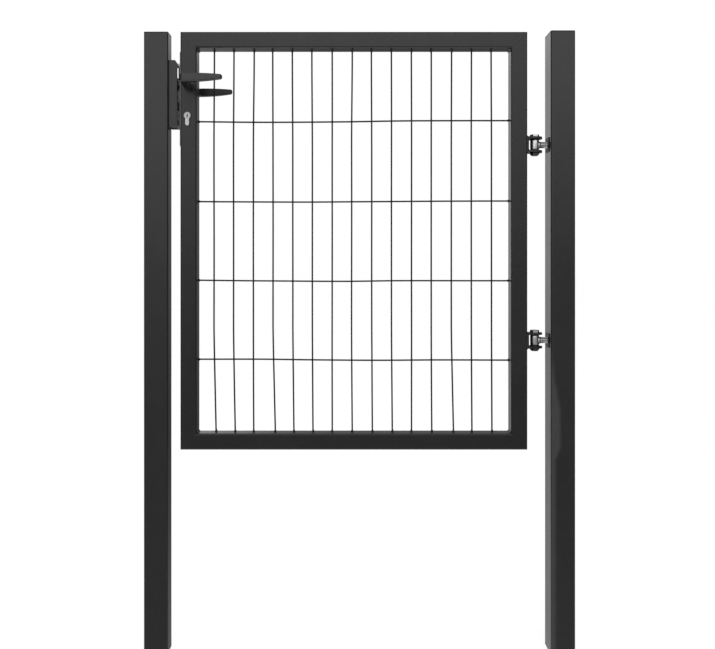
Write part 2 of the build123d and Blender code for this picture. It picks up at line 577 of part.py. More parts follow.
LT = LX0 - FOREND[0] - LATCH_OUT             # latch tip at rest
with BuildPart() as latch_bolt:
    # head with the slanted face that rides over the keep on closing
    with BuildSketch(Plane.XY.offset(LATCH_Z[0])):
        with BuildLine():
            Polyline((LX0 - 1, -LATCH_W / 2), (LT + 1, -LATCH_W / 2), (LT, -LATCH_W / 2 + 1), (LT, -LATCH_W / 2 + 3), (LT + 9.5, LATCH_W / 2), (LX0 - 1, LATCH_W / 2), close=True)
        make_face()
    extrude(amount=LATCH_Z[1] - LATCH_Z[0])
    # tail plate
    with BuildSketch(Plane.XZ.offset(-4)):
        with Locations(((LX0 - 2 + LOCK_X + 5.7) / 2, 1405.25)):
            Rectangle(LOCK_X + 5.7 - LX0 + 2, 4.5)
    extrude(amount=3.5)
    # spring seat
    with BuildSketch(Plane.YZ.offset(LOCK_X - 6)):
        with Locations((3.35, 1408.75)):
            Rectangle(5.7, 11.5)
    extrude(amount=2)
    # driving pin in front of the follower's arm
    with BuildSketch(Plane.XZ.offset(4)):
        with Locations((LOCK_X + 4, 1405)):
            Circle(1.5)
    extrude(amount=-6)
finish(latch_bolt, "latch_bolt")

SPRING_X0, SPRING_X1 = LOCK_X - 4, CASE_BACK - CASE_T
with BuildPart() as latch_spring:
    # compression spring with closed end rings
    with BuildLine() as coil:
        Helix(pitch=3.2, height=SPRING_X1 - SPRING_X0 - 1.0, radius=2.3, center=(SPRING_X0 + 0.5, 3.4, 1411), direction=(1, 0, 0))
    with BuildSketch(Plane(origin=coil.line @ 0, z_dir=coil.line % 0)):
        Circle(0.4)
    sweep()
    for x in (SPRING_X0 + 0.42, SPRING_X1 - 0.42):
        with Locations(Location((x, 3.4, 1411), (0, 90, 0))):
            Torus(2.3, 0.4)
finish(latch_spring, "latch_spring")

# ================================================================= the handles
with BuildPart() as follower:
    with BuildSketch(Plane.XZ.offset(-6.2)):
        with Locations((LOCK_X, SPINDLE_Z)):
            Circle(7.5)
    extrude(amount=12.4)
    with BuildSketch(Plane.XZ.offset(-CASE_Y)):
        with Locations((LOCK_X, SPINDLE_Z)):
            Circle(6.5)
    extrude(amount=2 * CASE_Y)
    # arm that draws the latch
    with BuildSketch(Plane.XZ.offset(0.5)):
        with Locations((LOCK_X, SPINDLE_Z + 8)):
            Rectangle(4, 16)
        with Locations((LOCK_X, SPINDLE_Z + 16)):
            Circle(2)
    extrude(amount=3.5)
    with BuildSketch(Plane.XZ.offset(-CASE_Y - 1)):
        with Locations((LOCK_X, SPINDLE_Z)):
            Rectangle(SQUARE, SQUARE)
    extrude(amount=2 * CASE_Y + 2, mode=Mode.SUBTRACT)
finish(follower, "follower")

with BuildPart() as spindle:
    with BuildSketch(Plane.XZ.offset(-50)):
        with Locations((LOCK_X, SPINDLE_Z)):
            Rectangle(SQUARE, SQUARE)
    extrude(amount=100)
    chamfer(spindle.edges().filter_by(Plane.XZ), 0.6)
finish(spindle, "spindle")

with BuildPart() as spindle_bushes:
    with BuildSketch(Plane.XZ.offset(H)):
        with Locations((LOCK_X, SPINDLE_Z)):
            Circle(BUSH_FLANGE_R)
            Circle(8 + RUN, mode=Mode.SUBTRACT)
    extrude(amount=2)
    chamfer(spindle_bushes.edges().filter_by(GeomType.CIRCLE).group_by(Axis.Y)[0].sort_by(Edge.length)[-1], 0.8)
    with BuildSketch(Plane.XZ.offset(H)):
        with Locations((LOCK_X, SPINDLE_Z)):
            Circle(BUSH_R)
            Circle(8 + RUN, mode=Mode.SUBTRACT)
    extrude(amount=-5)
    mirror(about=Plane.XZ)
finish(spindle_bushes, "spindle_bushes")

GRIP_Y = (-87.0, -73.0)      # front and rear of the grip
GRIP_X = (-428.0, -327.0)    # heel and tip of the grip
NECK_X = (LOCK_X - 6.2, LOCK_X + 8.6)
BEND_OUT, BEND_IN = 9.0, 18.0
TIP_ON, TIP_OUT = 0.6, 7.5   # the tip turns back
with BuildPart() as front_lever:
    # grip: a tapering bar with rounded edges
    with BuildSketch(Plane.XZ.offset(-GRIP_Y[1])):
        with BuildLine():
            top = ThreePointArc((GRIP_X[0] - 5, SPINDLE_Z + 16.4), (GRIP_X[0] + 46, SPINDLE_Z + 17.3), (GRIP_X[1], SPINDLE_Z + 14.4))
            low = ThreePointArc((GRIP_X[1], SPINDLE_Z + 3.4), (GRIP_X[0] + 46, SPINDLE_Z - 2.6), (GRIP_X[0] - 5, SPINDLE_Z - 3.2))
            Line(top @ 1, low @ 0)
            Line(low @ 1, top @ 0)
        make_face()
        fillet(vertices().sort_by(Axis.X)[-2:], 4.2)
    extrude(amount=GRIP_Y[1] - GRIP_Y[0] + 6)
    with BuildSketch(Plane.XY.offset(SPINDLE_Z - 30)):
        with BuildLine():
            Polyline((GRIP_X[0], GRIP_Y[1]), (GRIP_X[0], GRIP_Y[0]), (GRIP_X[1] + TIP_ON, GRIP_Y[0] + 1.6), (GRIP_X[1] + TIP_ON, GRIP_Y[1] - 1.0), close=True)
        make_face()
        fillet(vertices().sort_by(Axis.Y)[0], BEND_OUT)
        fillet(vertices().sort_by(Axis.X)[-2:].sort_by(Axis.Y)[0], TIP_OUT)
    extrude(amount=60, mode=Mode.INTERSECT)
    heel = front_lever.edges().filter_by(Axis.Z).filter_by_position(Axis.X, GRIP_X[0] - 1, -420).filter_by_position(Axis.Y, -90, GRIP_Y[1] - 1)
    fillet([e for e in front_lever.edges() if e not in heel], 3.4)
    # neck: flares into the grip and drops to the spindle
    with BuildPart(mode=Mode.PRIVATE) as neck:
        with BuildSketch(Plane.YZ.offset(NECK_X[0])):
            with BuildLine():
                Polyline((-H - 2.4, SPINDLE_Z - 8.8), (-H - 2.4, SPINDLE_Z + 8.8), (-79, SPINDLE_Z + 15.4), (-79, SPINDLE_Z - 1.6), close=True)
            make_face()
        extrude(amount=NECK_X[1] - NECK_X[0] + BEND_IN + 8)
        with BuildSketch(Plane.XY.offset(SPINDLE_Z - 30)):
            with BuildLine():
                l1 = Line((NECK_X[1], -H), (NECK_X[1], GRIP_Y[1] + BEND_IN - 3))
                l2 = RadiusArc(l1 @ 1, (NECK_X[1] + BEND_IN, GRIP_Y[1] - 3), -BEND_IN)
                Polyline(l2 @ 1, (LOCK_X + 60, GRIP_Y[1] - 3), (LOCK_X + 60, -H), l1 @ 0)
            make_face()
        extrude(amount=60, mode=Mode.SUBTRACT)
        fillet([e for e in neck.edges() if abs(e.tangent_at(0.5).Z) < 0.6 and -78 < e.center().Y < -23 and e.length > 15], 2.5)
    add(neck.part)
    # collar and the spigot that turns in the bush
    with BuildSketch(Plane.XZ.offset(H + 2.4)):
        with Locations((LOCK_X, SPINDLE_Z)):
            Circle(10.2)
    extrude(amount=5)
    with BuildSketch(Plane.XZ.offset(H - 3)):
        with Locations((LOCK_X, SPINDLE_Z)):
            Circle(8.0)
    extrude(amount=6.5)
    # square socket and the grub screw's hole
    with BuildSketch(Plane.XZ.offset(H - 4)):
        with Locations((LOCK_X, SPINDLE_Z)):
            Rectangle(SQUARE, SQUARE)
    extrude(amount=34.2, mode=Mode.SUBTRACT)
    with BuildSketch(Plane.XY.offset(SPINDLE_Z - 12)):
        with Locations((LOCK_X, -33)):
            Circle(2.5)
    extrude(amount=10, mode=Mode.SUBTRACT)
finish(front_lever, "front_lever")

with BuildPart() as rear_lever:
    mirror(objects=front_lever.part, about=Plane.XZ)
finish(rear_lever, "rear_lever")

with BuildPart() as lever_grub_screws:
    with BuildSketch(Plane.XY.offset(SPINDLE_Z - SQUARE / 2 - 3.4)):
        with Locations((LOCK_X, -33), (LOCK_X, 33)):
            Circle(2.5)
            RegularPolygon(1.45, 6, mode=Mode.SUBTRACT)
    extrude(amount=2.2)
    with BuildSketch(Plane.XY.offset(SPINDLE_Z - SQUARE / 2 - 1.2)):
        with Locations((LOCK_X, -33), (LOCK_X, 33)):
            Circle(2.5)
    extrude(amount=1.2)
finish(lever_grub_screws, "lever_grub_screws")
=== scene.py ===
import bpy, bmesh, math, random
from mathutils import Vector, Matrix, noise


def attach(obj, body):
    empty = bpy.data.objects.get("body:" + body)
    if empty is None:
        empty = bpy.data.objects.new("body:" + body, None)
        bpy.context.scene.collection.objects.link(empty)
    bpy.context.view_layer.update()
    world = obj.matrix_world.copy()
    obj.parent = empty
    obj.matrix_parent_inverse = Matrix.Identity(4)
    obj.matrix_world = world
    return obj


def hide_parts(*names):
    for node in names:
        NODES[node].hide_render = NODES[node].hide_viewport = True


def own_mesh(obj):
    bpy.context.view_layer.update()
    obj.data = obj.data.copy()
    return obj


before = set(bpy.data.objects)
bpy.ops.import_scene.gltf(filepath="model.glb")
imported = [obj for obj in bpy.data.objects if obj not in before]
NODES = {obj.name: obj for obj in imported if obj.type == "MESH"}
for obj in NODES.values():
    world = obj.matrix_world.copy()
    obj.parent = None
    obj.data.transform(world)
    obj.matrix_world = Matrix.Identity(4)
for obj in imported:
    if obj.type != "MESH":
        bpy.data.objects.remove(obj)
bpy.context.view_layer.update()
scene = bpy.context.scene
random.seed(11)

# ------------------------------------------------------------------ sizes that the pieces below sit on, in metres
MM = 0.001
LEAF_X0, LEAF_X1 = -0.440, 0.415
LEAF_Z0, LEAF_Z1 = 0.500, 1.530
TUBE = 0.040
HALF = 0.020
HINGE_X = 0.437
HINGE_Z = (1.2535, 0.7685)
POST_IN = 0.470
WIRE_R = 0.002
WIRE_X = [-0.0170 + 0.05 * (k - 7) + off * MM for k, off in enumerate((5.2, 3.9, 3.4, 2.7, 2.1, 0.7, 0.4, -0.9, -0.8, -1.3, -1.2, -2.0, -1.7, -1.8, -1.4))]
WIRE_Z = [1.3158, 1.1158, 0.9158, 0.7158]
WIRE_VY, WIRE_HY = 0.0090, 0.0126
IN_X0, IN_X1 = LEAF_X0 + TUBE, LEAF_X1 - TUBE
IN_Z0, IN_Z1 = LEAF_Z0 + TUBE, LEAF_Z1 - TUBE


# ================================================================== materials
class Mat:
    """A small helper around one node tree."""

    def __init__(self, name):
        self.m = bpy.data.materials.new(name)
        self.m.use_nodes = True
        self.t = self.m.node_tree
        self.t.nodes.clear()
        self.out = self.t.nodes.new("ShaderNodeOutputMaterial")
        self.p = self.t.nodes.new("ShaderNodeBsdfPrincipled")
        self.t.links.new(self.p.outputs["BSDF"], self.out.inputs["Surface"])
        self.co = self.t.nodes.new("ShaderNodeTexCoord").outputs["Object"]

    def node(self, kind, **props):
        n = self.t.nodes.new(kind)
        for k, v in props.items():
            setattr(n, k, v)
        return n

    def link(self, a, b):
        self.t.links.new(a, b)

    def noise(self, scale, detail=3.0, rough=0.5, stretch=None, distortion=0.0):
        n = self.node("ShaderNodeTexNoise")
        n.inputs["Scale"].default_value = scale
        n.inputs["Detail"].default_value = detail
        n.inputs["Roughness"].default_value = rough
        n.inputs["Distortion"].default_value = distortion
        src = self.co
        if stretch:
            mp = self.node("ShaderNodeMapping")
            mp.inputs["Scale"].default_value = stretch
            self.link(self.co, mp.inputs["Vector"])
            src = mp.outputs["Vector"]
        self.link(src, n.inputs["Vector"])
        return n.outputs["Fac"]

    def cells(self, scale, feature="F1"):
        n = self.node("ShaderNodeTexVoronoi", feature=feature)
        n.inputs["Scale"].default_value = scale
        self.link(self.co, n.inputs["Vector"])
        return n.outputs["Distance"]

    def rng(self, fac, lo, hi, a=0.0, b=1.0):
        n = self.node("ShaderNodeMapRange")
        n.inputs["From Min"].default_value = a
        n.inputs["From Max"].default_value = b
        n.inputs["To Min"].default_value = lo
        n.inputs["To Max"].default_value = hi
        self.link(fac, n.inputs["Value"])
        return n.outputs["Result"]

    def math(self, op, a, b):
        n = self.node("ShaderNodeMath", operation=op)
        for i, v in enumerate((a, b)):
            if isinstance(v, (int, float)):
                n.inputs[i].default_value = v
            else:
                self.link(v, n.inputs[i])
        return n.outputs[0]

    def mix(self, fac, a, b, kind="MIX"):
        n = self.node("ShaderNodeMix", data_type="RGBA", blend_type=kind)
        if isinstance(fac, (int, float)):
            n.inputs["Factor"].default_value = fac
        else:
            self.link(fac, n.inputs["Factor"])
        for s, v in ((6, a), (7, b)):
            if isinstance(v, (tuple, list)):
                n.inputs[s].default_value = (*v[:3], 1.0)
            else:
                self.link(v, n.inputs[s])
        return n.outputs[2]

    def edge(self, radius, lo, hi):
        """1 on convex and concave edges, 0 on broad faces."""
        bv = self.node("ShaderNodeBevel", samples=6)
        bv.inputs["Radius"].default_value = radius
        geo = self.node("ShaderNodeNewGeometry")
        dot = self.node("ShaderNodeVectorMath", operation="DOT_PRODUCT")
        self.link(bv.outputs["Normal"], dot.inputs[0])
        self.link(geo.outputs["Normal"], dot.inputs[1])
        return self.rng(dot.outputs["Value"], 1.0, 0.0, lo, hi)

    def cavity(self, distance, lo=0.25, hi=0.85):
        """1 in the open, 0 deep in corners."""
        ao = self.node("ShaderNodeAmbientOcclusion", samples=6)
        ao.inputs["Distance"].default_value = distance
        return self.rng(ao.outputs["AO"], 0.0, 1.0, lo, hi)

    def bump(self, layers):
        """layers of (height, strength, distance), the broadest first"""
        prev = None
        for h, s, d in layers:
            b = self.node("ShaderNodeBump")
            b.inputs["Strength"].default_value = s
            b.inputs["Distance"].default_value = d
            self.link(h, b.inputs["Height"])
            if prev is not None:
                self.link(prev, b.inputs["Normal"])
            prev = b.outputs["Normal"]
        self.link(prev, self.p.inputs["Normal"])

    def colour(self, c):
        self.link(c, self.p.inputs["Base Color"])

    def rough(self, r):
        self.link(r, self.p.inputs["Roughness"])


def times(base, k, add=0.0):
    return tuple(min(1.0, c * k + add) for c in base)


def painted_highlight_band(m, c, pale):
    """A painted highlight: a paler band along the leaf side of the hinge post's front, widest under the lower hinge.
    """
    sep = m.node("ShaderNodeSeparateXYZ")
    m.link(m.co, sep.inputs["Vector"])
    x, y, z = sep.outputs["X"], sep.outputs["Y"], sep.outputs["Z"]
    wide = m.math("MULTIPLY", m.rng(z, 0.0, 0.0122, 0.478, 0.508), m.rng(z, 1.0, 0.0, 0.600, 0.668))
    rim = m.math("ADD", wide, m.rng(z, 0.4806, 0.4730, 0.650, 0.735))
    rim = m.math("ADD", rim, m.rng(m.noise(55.0, 3, 0.6), -0.0010, 0.0010, 0.3, 0.7))
    mask = m.rng(m.math("SUBTRACT", x, rim), 1.0, 0.0, -0.0048, 0.0052)
    mask = m.math("MULTIPLY", mask, m.rng(z, 1.0, 0.0, 0.670, 0.785))
    mask = m.math("MULTIPLY", mask, m.rng(y, 1.0, 0.0, -0.0295, -0.0280))
    mask = m.math("MULTIPLY", mask, m.rng(m.noise(38.0, 4, 0.6), 0.90, 1.0, 0.35, 0.65))
    return m.mix(mask, c, pale)


def powder_coat(name, base, rough=0.28, grain=1.0, wear=0.10, gloss=0.5, band=None):
    """Satin powder coat: fine pebbled skin, faint orange peel, slow tone drift, painted shade in the corners."""
    m = Mat(name)
    drift = m.noise(3.5, 3, 0.5)
    streak = m.noise(7.0, 4, 0.6, stretch=(2.2, 2.2, 0.16))
    speck = m.noise(1700.0, 2, 0.6)
    peel = m.noise(210.0, 2, 0.5)
    pebble = m.noise(950.0, 3, 0.55)
    c = m.mix(m.rng(drift, 0, 1, 0.3, 0.7), times(base, 0.94), times(base, 1.06))
    c = m.mix(m.rng(streak, 0, 0.30, 0.5, 0.78), c, times(base, 1.20))
    c = m.mix(m.rng(speck, 0, 0.35, 0.60, 0.74), c, times(base, 1.5, 0.004))
    worn = m.math("MULTIPLY", m.edge(0.0012, 0.985, 0.80), m.rng(m.noise(42.0, 4, 0.65), 0, wear, 0.45, 0.70))
    c = m.mix(worn, c, times(base, 2.2, 0.01))
    # painted shade: an occlusion mask, broken up by noise, darkens the coat in corners and crevices
    painted_corner_shade = m.math("MULTIPLY", m.math("SUBTRACT", 1.0, m.cavity(0.010)), m.rng(m.noise(30.0, 4, 0.6), 0.15, 0.65, 0.35, 0.7))
    c = m.mix(painted_corner_shade, c, times(base, 0.45))
    # painted highlight: an optional paler band painted onto the front face
    if band:
        c = painted_highlight_band(m, c, band)
    m.colour(c)
    m.rough(m.math("ADD", m.rng(drift, rough - 0.03, rough + 0.04, 0.3, 0.7), m.rng(speck, -0.03, 0.03, 0.3, 0.7)))
    m.p.inputs["IOR"].default_value = 1.5
    m.p.inputs["Specular IOR Level"].default_value = gloss
    m.bump([(peel, 0.14 * grain, 0.0002), (pebble, 0.30 * grain, 0.00012)])
    return m.m


def plated(name, base, rough=0.30, turned=None, cloud=140.0, corner_shade_depth=0.75):
    """Bright plated steel: soft crystalline clouding, fine tool lines, rougher plate and painted shade in the
    corners.
    """
    m = Mat(name)
    spangle = m.cells(cloud)
    haze = m.noise(70.0, 4, 0.6)
    fine = m.noise(2200.0, 2, 0.5) if turned is None else m.noise(900.0, 3, 0.6, stretch=turned)
    c = m.mix(m.rng(spangle, 0, 1, 0.1, 0.7), times(base, 0.88), times(base, 1.08))
    c = m.mix(m.rng(haze, 0, 0.4, 0.48, 0.72), c, times(base, 0.68))
    # painted shade: an occlusion mask darkens the colour in corners; the rise in roughness there is the plate's own
    corner_roughness_and_shade = m.math("SUBTRACT", 1.0, m.cavity(0.004, 0.15, 0.85))
    c = m.mix(m.math("MULTIPLY", corner_roughness_and_shade, corner_shade_depth), c, times(base, 0.10))
    m.colour(c)
    m.p.inputs["Metallic"].default_value = 1.0
    r = m.math("ADD", m.rng(haze, rough - 0.06, rough + 0.10, 0.3, 0.7), m.rng(fine, -0.04, 0.05, 0.3, 0.7))
    m.rough(m.math("ADD", r, m.math("MULTIPLY", corner_roughness_and_shade, 0.2)))
    m.bump([(haze, 0.08, 0.0003), (fine, 0.14, 0.00006)])
    return m.m


def moulded(name, base, rough=0.5, grain_scale=900.0, grain=0.3):
    """Moulded plastic: fine spark-eroded grain, slow gloss drift, paler rubbed edges."""
    m = Mat(name)
    drift = m.noise(12.0, 3, 0.5)
    grains = m.noise(grain_scale, 2, 0.5)
    c = m.mix(m.rng(drift, 0, 1, 0.3, 0.7), times(base, 0.85), times(base, 1.18))
    c = m.mix(m.math("MULTIPLY", m.edge(0.0010, 0.98, 0.8), m.rng(m.noise(70.0, 3, 0.6), 0, 0.3, 0.45, 0.7)), c, times(base, 2.2, 0.008))
    m.colour(c)
    m.rough(m.rng(drift, rough - 0.07, rough + 0.08, 0.3, 0.7))
    m.bump([(grains, grain, 0.00010)])
    return m.m


COAT = (0.0197, 0.0198, 0.0200)
mat_coat = powder_coat("anthracite_powder_coat", COAT)
# the hinge post's coat carries a painted highlight band along its leaf side
mat_hinge_post = powder_coat("anthracite_hinge_post_coat", COAT, band=(0.0645, 0.0647, 0.0650))
mat_leaf = powder_coat("anthracite_leaf_coat", (0.0190, 0.0191, 0.0193), gloss=0.42)
mat_wire = powder_coat("anthracite_wire_coat", (0.0175, 0.0176, 0.0178), rough=0.46, grain=0.6, wear=0.05, gloss=0.22)
mat_lever = powder_coat("dark_cast_lever_coat", (0.0300, 0.0301, 0.0304), rough=0.30, grain=0.8, wear=0.18)
# painted shade: the rear lever gets a darker copy of the lever coat
mat_lever_shaded_copy = powder_coat("dark_cast_lever_coat_shaded_copy", (0.0150, 0.0151, 0.0153), rough=0.34, grain=0.8, wear=0.14, gloss=0.35)
mat_zinc = plated("bright_zinc_plate", (0.66, 0.665, 0.67), 0.28)
mat_zinc_dull = plated("lock_zinc_plate", (0.30, 0.304, 0.308), 0.38, turned=(0.15, 6.0, 0.15), cloud=90.0)
mat_forend = plated("forend_dark_plate", (0.21, 0.212, 0.215), 0.38, turned=(0.15, 6.0, 0.15), cloud=90.0)
mat_strike = plated("strike_face_plate", (0.64, 0.644, 0.648), 0.30, turned=(0.15, 6.0, 0.15), cloud=90.0, corner_shade_depth=0.15)
mat_nickel = plated("satin_nickel_plate", (0.46, 0.457, 0.45), 0.24, turned=(6.0, 0.2, 0.5), cloud=220.0)
mat_black_zinc = plated("black_zinc_plate", (0.085, 0.085, 0.087), 0.34, cloud=180.0)
mat_dark_steel = plated("dark_oiled_steel", (0.036, 0.036, 0.037), 0.36, cloud=120.0)
mat_cap = moulded("anthracite_cap_plastic", (0.014, 0.014, 0.0143), 0.60)
mat_acetal = moulded("black_acetal", (0.010, 0.010, 0.0103), 0.50, 1400.0, 0.15)

FINISH = {
    mat_coat: ["lock_post", "strike_keep"],
    mat_hinge_post: ["hinge_post"],
    mat_leaf: ["top_rail", "bottom_rail", "lock_stile", "hinge_stile", "hinge_bracket_upper", "hinge_bracket_lower"],
    mat_forend: ["lock_forend"],
    mat_wire: ["vertical_wires", "horizontal_wires"],
    mat_lever: ["front_lever"],
    mat_lever_shaded_copy: ["rear_lever"],
    mat_zinc: ["hinge_eye_upper", "hinge_eye_lower", "hinge_pins", "keep_screws", "forend_screws", "cylinder_screw",
               "latch_spring", "lever_grub_screws"],
    mat_zinc_dull: ["deadbolt", "follower", "spindle", "lock_case", "lock_case_cover"],
    mat_nickel: ["cylinder_body", "cylinder_plugs", "cylinder_cam"],
    mat_black_zinc: ["hinge_nuts"],
    mat_dark_steel: ["latch_bolt"],
    mat_cap: ["post_caps"],
    mat_acetal: ["hinge_washers", "spindle_bushes", "hinge_sockets"],
}
for material, names in FINISH.items():
    for n in names:
        me = NODES[n].data
        me.materials.clear()
        me.materials.append(material)


# the faces of the keep that the bolts and the leaf touch are bare plate, the rest is coated
keep = NODES["strike_keep"]
keep.data.materials.append(mat_strike)
for poly in keep.data.polygons:
    c, n = keep.matrix_world @ poly.center, (keep.matrix_world.to_3x3() @ poly.normal).normalized()
    if (n.x > 0.9 and abs(c.x + 0.449) < 0.0006) or (n.y < -0.9 and abs(c.y - 0.0204) < 0.0006):
        poly.material_index = 1


# ================================================================== mesh tools
class Shells:
    """Closed shells gathered into one mesh."""

    def __init__(self):
        self.v, self.f = [], []

    def rings(self, rings, cap=True):
        """Skins a list of rings with the same number of points, and closes both ends with a fan."""
        base, n = len(self.v), len(rings[0])
        for r in rings:
            self.v.extend(tuple(p) for p in r)
        for i in range(len(rings) - 1):
            a, b = base + i * n, base + (i + 1) * n
            for j in range(n):
                k = (j + 1) % n
                self.f.append((a + j, a + k, b + k, b + j))
        if cap:
            for ring, start, turn in ((rings[0], base, True), (rings[-1], base + (len(rings) - 1) * n, False)):
                c = len(self.v)
                self.v.append(tuple(sum((Vector(p) for p in ring), Vector()) / n))
                for j in range(n):
                    k = (j + 1) % n
                    self.f.append((c, start + k, start + j) if turn else (c, start + j, start + k))

    def torus(self, rings):
        """Skins rings that close on themselves."""
        base, n, m = len(self.v), len(rings[0]), len(rings)
        for r in rings:
            self.v.extend(tuple(p) for p in r)
        for i in range(m):
            a, b = base + i * n, base + ((i + 1) % m) * n
            for j in range(n):
                k = (j + 1) % n
                self.f.append((a + j, a + k, b + k, b + j))

    def tube(self, points, radius, sides=12, up=(0, 1, 0), radii=None, flat=1.0):
        """A tube along points. radii gives one radius each, and flat squeezes the section along up."""
        pts = [Vector(p) for p in points]
        rings = []
        for i, p in enumerate(pts):
            t = (pts[min(i + 1, len(pts) - 1)] - pts[max(i - 1, 0)]).normalized()
            u = Vector(up)
            u = (u - t * u.dot(t)).normalized()
            w = t.cross(u)
            r = radii[i] if radii else radius
            rings.append([p + (u * math.cos(2 * math.pi * j / sides) * flat + w * math.sin(2 * math.pi * j / sides)) * r for j in range(sides)])
        self.rings(rings)

    def piece(self, name, body, material, stands_for=(), smooth_deg=50):
        me = bpy.data.meshes.new(name)
        me.from_pydata(self.v, [], self.f)
        bm = bmesh.new()
        bm.from_mesh(me)
        bmesh.ops.recalc_face_normals(bm, faces=bm.faces)
        bm.to_mesh(me)
        bm.free()
        me.polygons.foreach_set("use_smooth", [True] * len(me.polygons))
        me.set_sharp_from_angle(angle=math.radians(smooth_deg))
        me.materials.append(material)
        o = bpy.data.objects.new(name, me)
        scene.collection.objects.link(o)
        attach(o, body)
        if stands_for:
            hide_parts(*stands_for)
        return o


def wobble(x, y, z, size):
    return noise.noise(Vector((x, y, z))) * size


def ease(t):
    t = max(0.0, min(1.0, t))
    return t * t * (3 - 2 * t)


def spline(knots, x):
    """Smooth curve through (x, value) knots, flat past the ends."""
    if x <= knots[0][0]:
        return knots[0][1]
    if x >= knots[-1][0]:
        return knots[-1][1]
    for i in range(len(knots) - 1):
        (x0, v0), (x1, v1) = knots[i], knots[i + 1]
        if x <= x1:
            h = x1 - x0
            before, after = knots[max(i - 1, 0)], knots[min(i + 2, len(knots) - 1)]
            m0 = (v1 - before[1]) / max(x1 - before[0], 1e-9)
            m1 = (after[1] - v0) / max(after[0] - x0, 1e-9)
            t = (x - x0) / h
            return (v0 * (2 * t**3 - 3 * t**2 + 1) + m0 * h * (t**3 - 2 * t**2 + t) + v1 * (3 * t**2 - 2 * t**3) + m1 * h * (t**3 - t**2))


# ================================================================== the mesh: drawn wires, each a little bent
# how far each upright leans at its top and at its bottom end, in millimetres
LEAN = [(1.0, 5.2), (1.2, 4.3), (2.2, 1.1), (-0.9, 5.8), (-1.4, 2.8), (-0.9, 2.0), (0.0, 0.2), (1.7, 1.4),
        (-0.8, 1.8), (-0.3, 1.8), (-0.5, 0.1), (0.1, 1.3), (0.6, 5.3), (0.3, 1.5), (-0.8, 1.2)]
# how far each cross wire rises from its line, in millimetres, along x
RISE = [[(-0.40, -1.6), (-0.25, -3.0), (-0.04, -2.0), (0.10, 0.3), (0.25, 1.0), (0.375, 1.0)],
        [(-0.40, -1.6), (-0.15, -3.0), (0.00, -2.0), (0.15, -1.0), (0.375, -0.2)],
        [(-0.40, 1.3), (-0.25, 0.0), (-0.04, -1.4), (0.10, 0.0), (0.375, 0.2)],
        [(-0.40, 3.6), (-0.25, 3.6), (-0.10, 1.8), (0.05, 1.0), (0.20, 1.8), (0.375, 1.2)]]


def upright_x(k, z):
    top, low = LEAN[k]
    d = top * ease((z - 1.24) / (IN_Z1 - 1.24)) + low * max(0.0, (0.80 - z) / (0.80 - IN_Z0)) ** 1.2
    return WIRE_X[k] + (d + wobble(k * 3.7, z * 4.0, 1.3, 0.35)) * MM


def cross_z(k, x):
    return WIRE_Z[k] + (spline(RISE[k], x) + wobble(k * 5.1, x * 5.0, 7.7, 0.35)) * MM


uprights = Shells()
for k in range(15):
    zs = [IN_Z0 + (IN_Z1 - IN_Z0) * i / 95 for i in range(96)]
    uprights.tube([(upright_x(k, z), WIRE_VY, z) for z in zs], WIRE_R, 14)
uprights.piece("bent_upright_wires", "leaf", mat_wire, ("vertical_wires",))

cross = Shells()
for k in range(4):
    xs = [IN_X0 + (IN_X1 - IN_X0) * i / 110 for i in range(111)]
    cross.tube([(x, WIRE_HY, cross_z(k, x)) for x in xs], WIRE_R, 14)
cross.piece("bent_cross_wires", "leaf", mat_wire, ("horizontal_wires",))

# a squeezed nugget of weld where two wires cross
nuggets = Shells()
for k in range(15):
    for h in range(4):
        x = upright_x(k, WIRE_Z[h])
        z = cross_z(h, x)
        x = upright_x(k, z)
        rx, rz = 0.00255 + random.uniform(-0.0002, 0.0003), 0.00250 + random.uniform(-0.0002, 0.0003)
        rings = []
        for i in range(9):
            a = math.pi * i / 8
            y = (WIRE_VY + WIRE_HY) / 2 - 0.0013 * math.cos(a)
            s = max(0.04, math.sin(a)) ** 0.8
            rings.append([(x + rx * s * math.cos(2 * math.pi * j / 14) * (1 + 0.08 * math.sin(3 * j + k)), y,
                           z + rz * s * math.sin(2 * math.pi * j / 14) * (1 + 0.08 * math.cos(2 * j + h))) for j in range(14)])
        nuggets.rings(rings)
nuggets.piece("wire_crossing_welds", "leaf", mat_wire)

# small collar of weld where a wire meets the frame
collars = Shells()


def collar(p, out, across, lump):
    """A flared collar at p on the frame, along out, a little thicker on one side."""
    p, out, a = Vector(p), Vector(out), Vector(across)
    b = out.cross(a)
    rings = []
    for i, (h, r) in enumerate(((-0.0006, 0.0040), (0.0002, 0.0041), (0.0007, 0.0036), (0.0013, 0.0029), (0.0022, 0.00245), (0.0034, 0.0022), (0.0042, 0.00195))):
        ring = []
        for j in range(16):
            t = 2 * math.pi * j / 16
            g = 1 + 0.16 * math.cos(t - lump) * (1 - i / 7) + 0.06 * math.sin(3 * t + lump * 2)
            rr = max(r * g, 0.0019)
            ring.append(p + out * (h * (1 + 0.25 * math.cos(t - lump))) + (a * math.cos(t) + b * math.sin(t)) * rr)
        rings.append(ring)
    collars.rings(rings)


for k in range(15):
    collar((upright_x(k, IN_Z0), WIRE_VY, IN_Z0), (0, 0, 1), (1, 0, 0), random.uniform(0, 6.28))
    collar((upright_x(k, IN_Z1), WIRE_VY, IN_Z1), (0, 0, -1), (1, 0, 0), random.uniform(0, 6.28))
for k in range(4):
    collar((IN_X0, WIRE_HY, cross_z(k, IN_X0)), (1, 0, 0), (0, 1, 0), random.uniform(0, 6.28))
    collar((IN_X1, WIRE_HY, cross_z(k, IN_X1)), (-1, 0, 0), (0, 1, 0), random.uniform(0, 6.28))
collars.piece("wire_end_welds", "leaf", mat_wire)


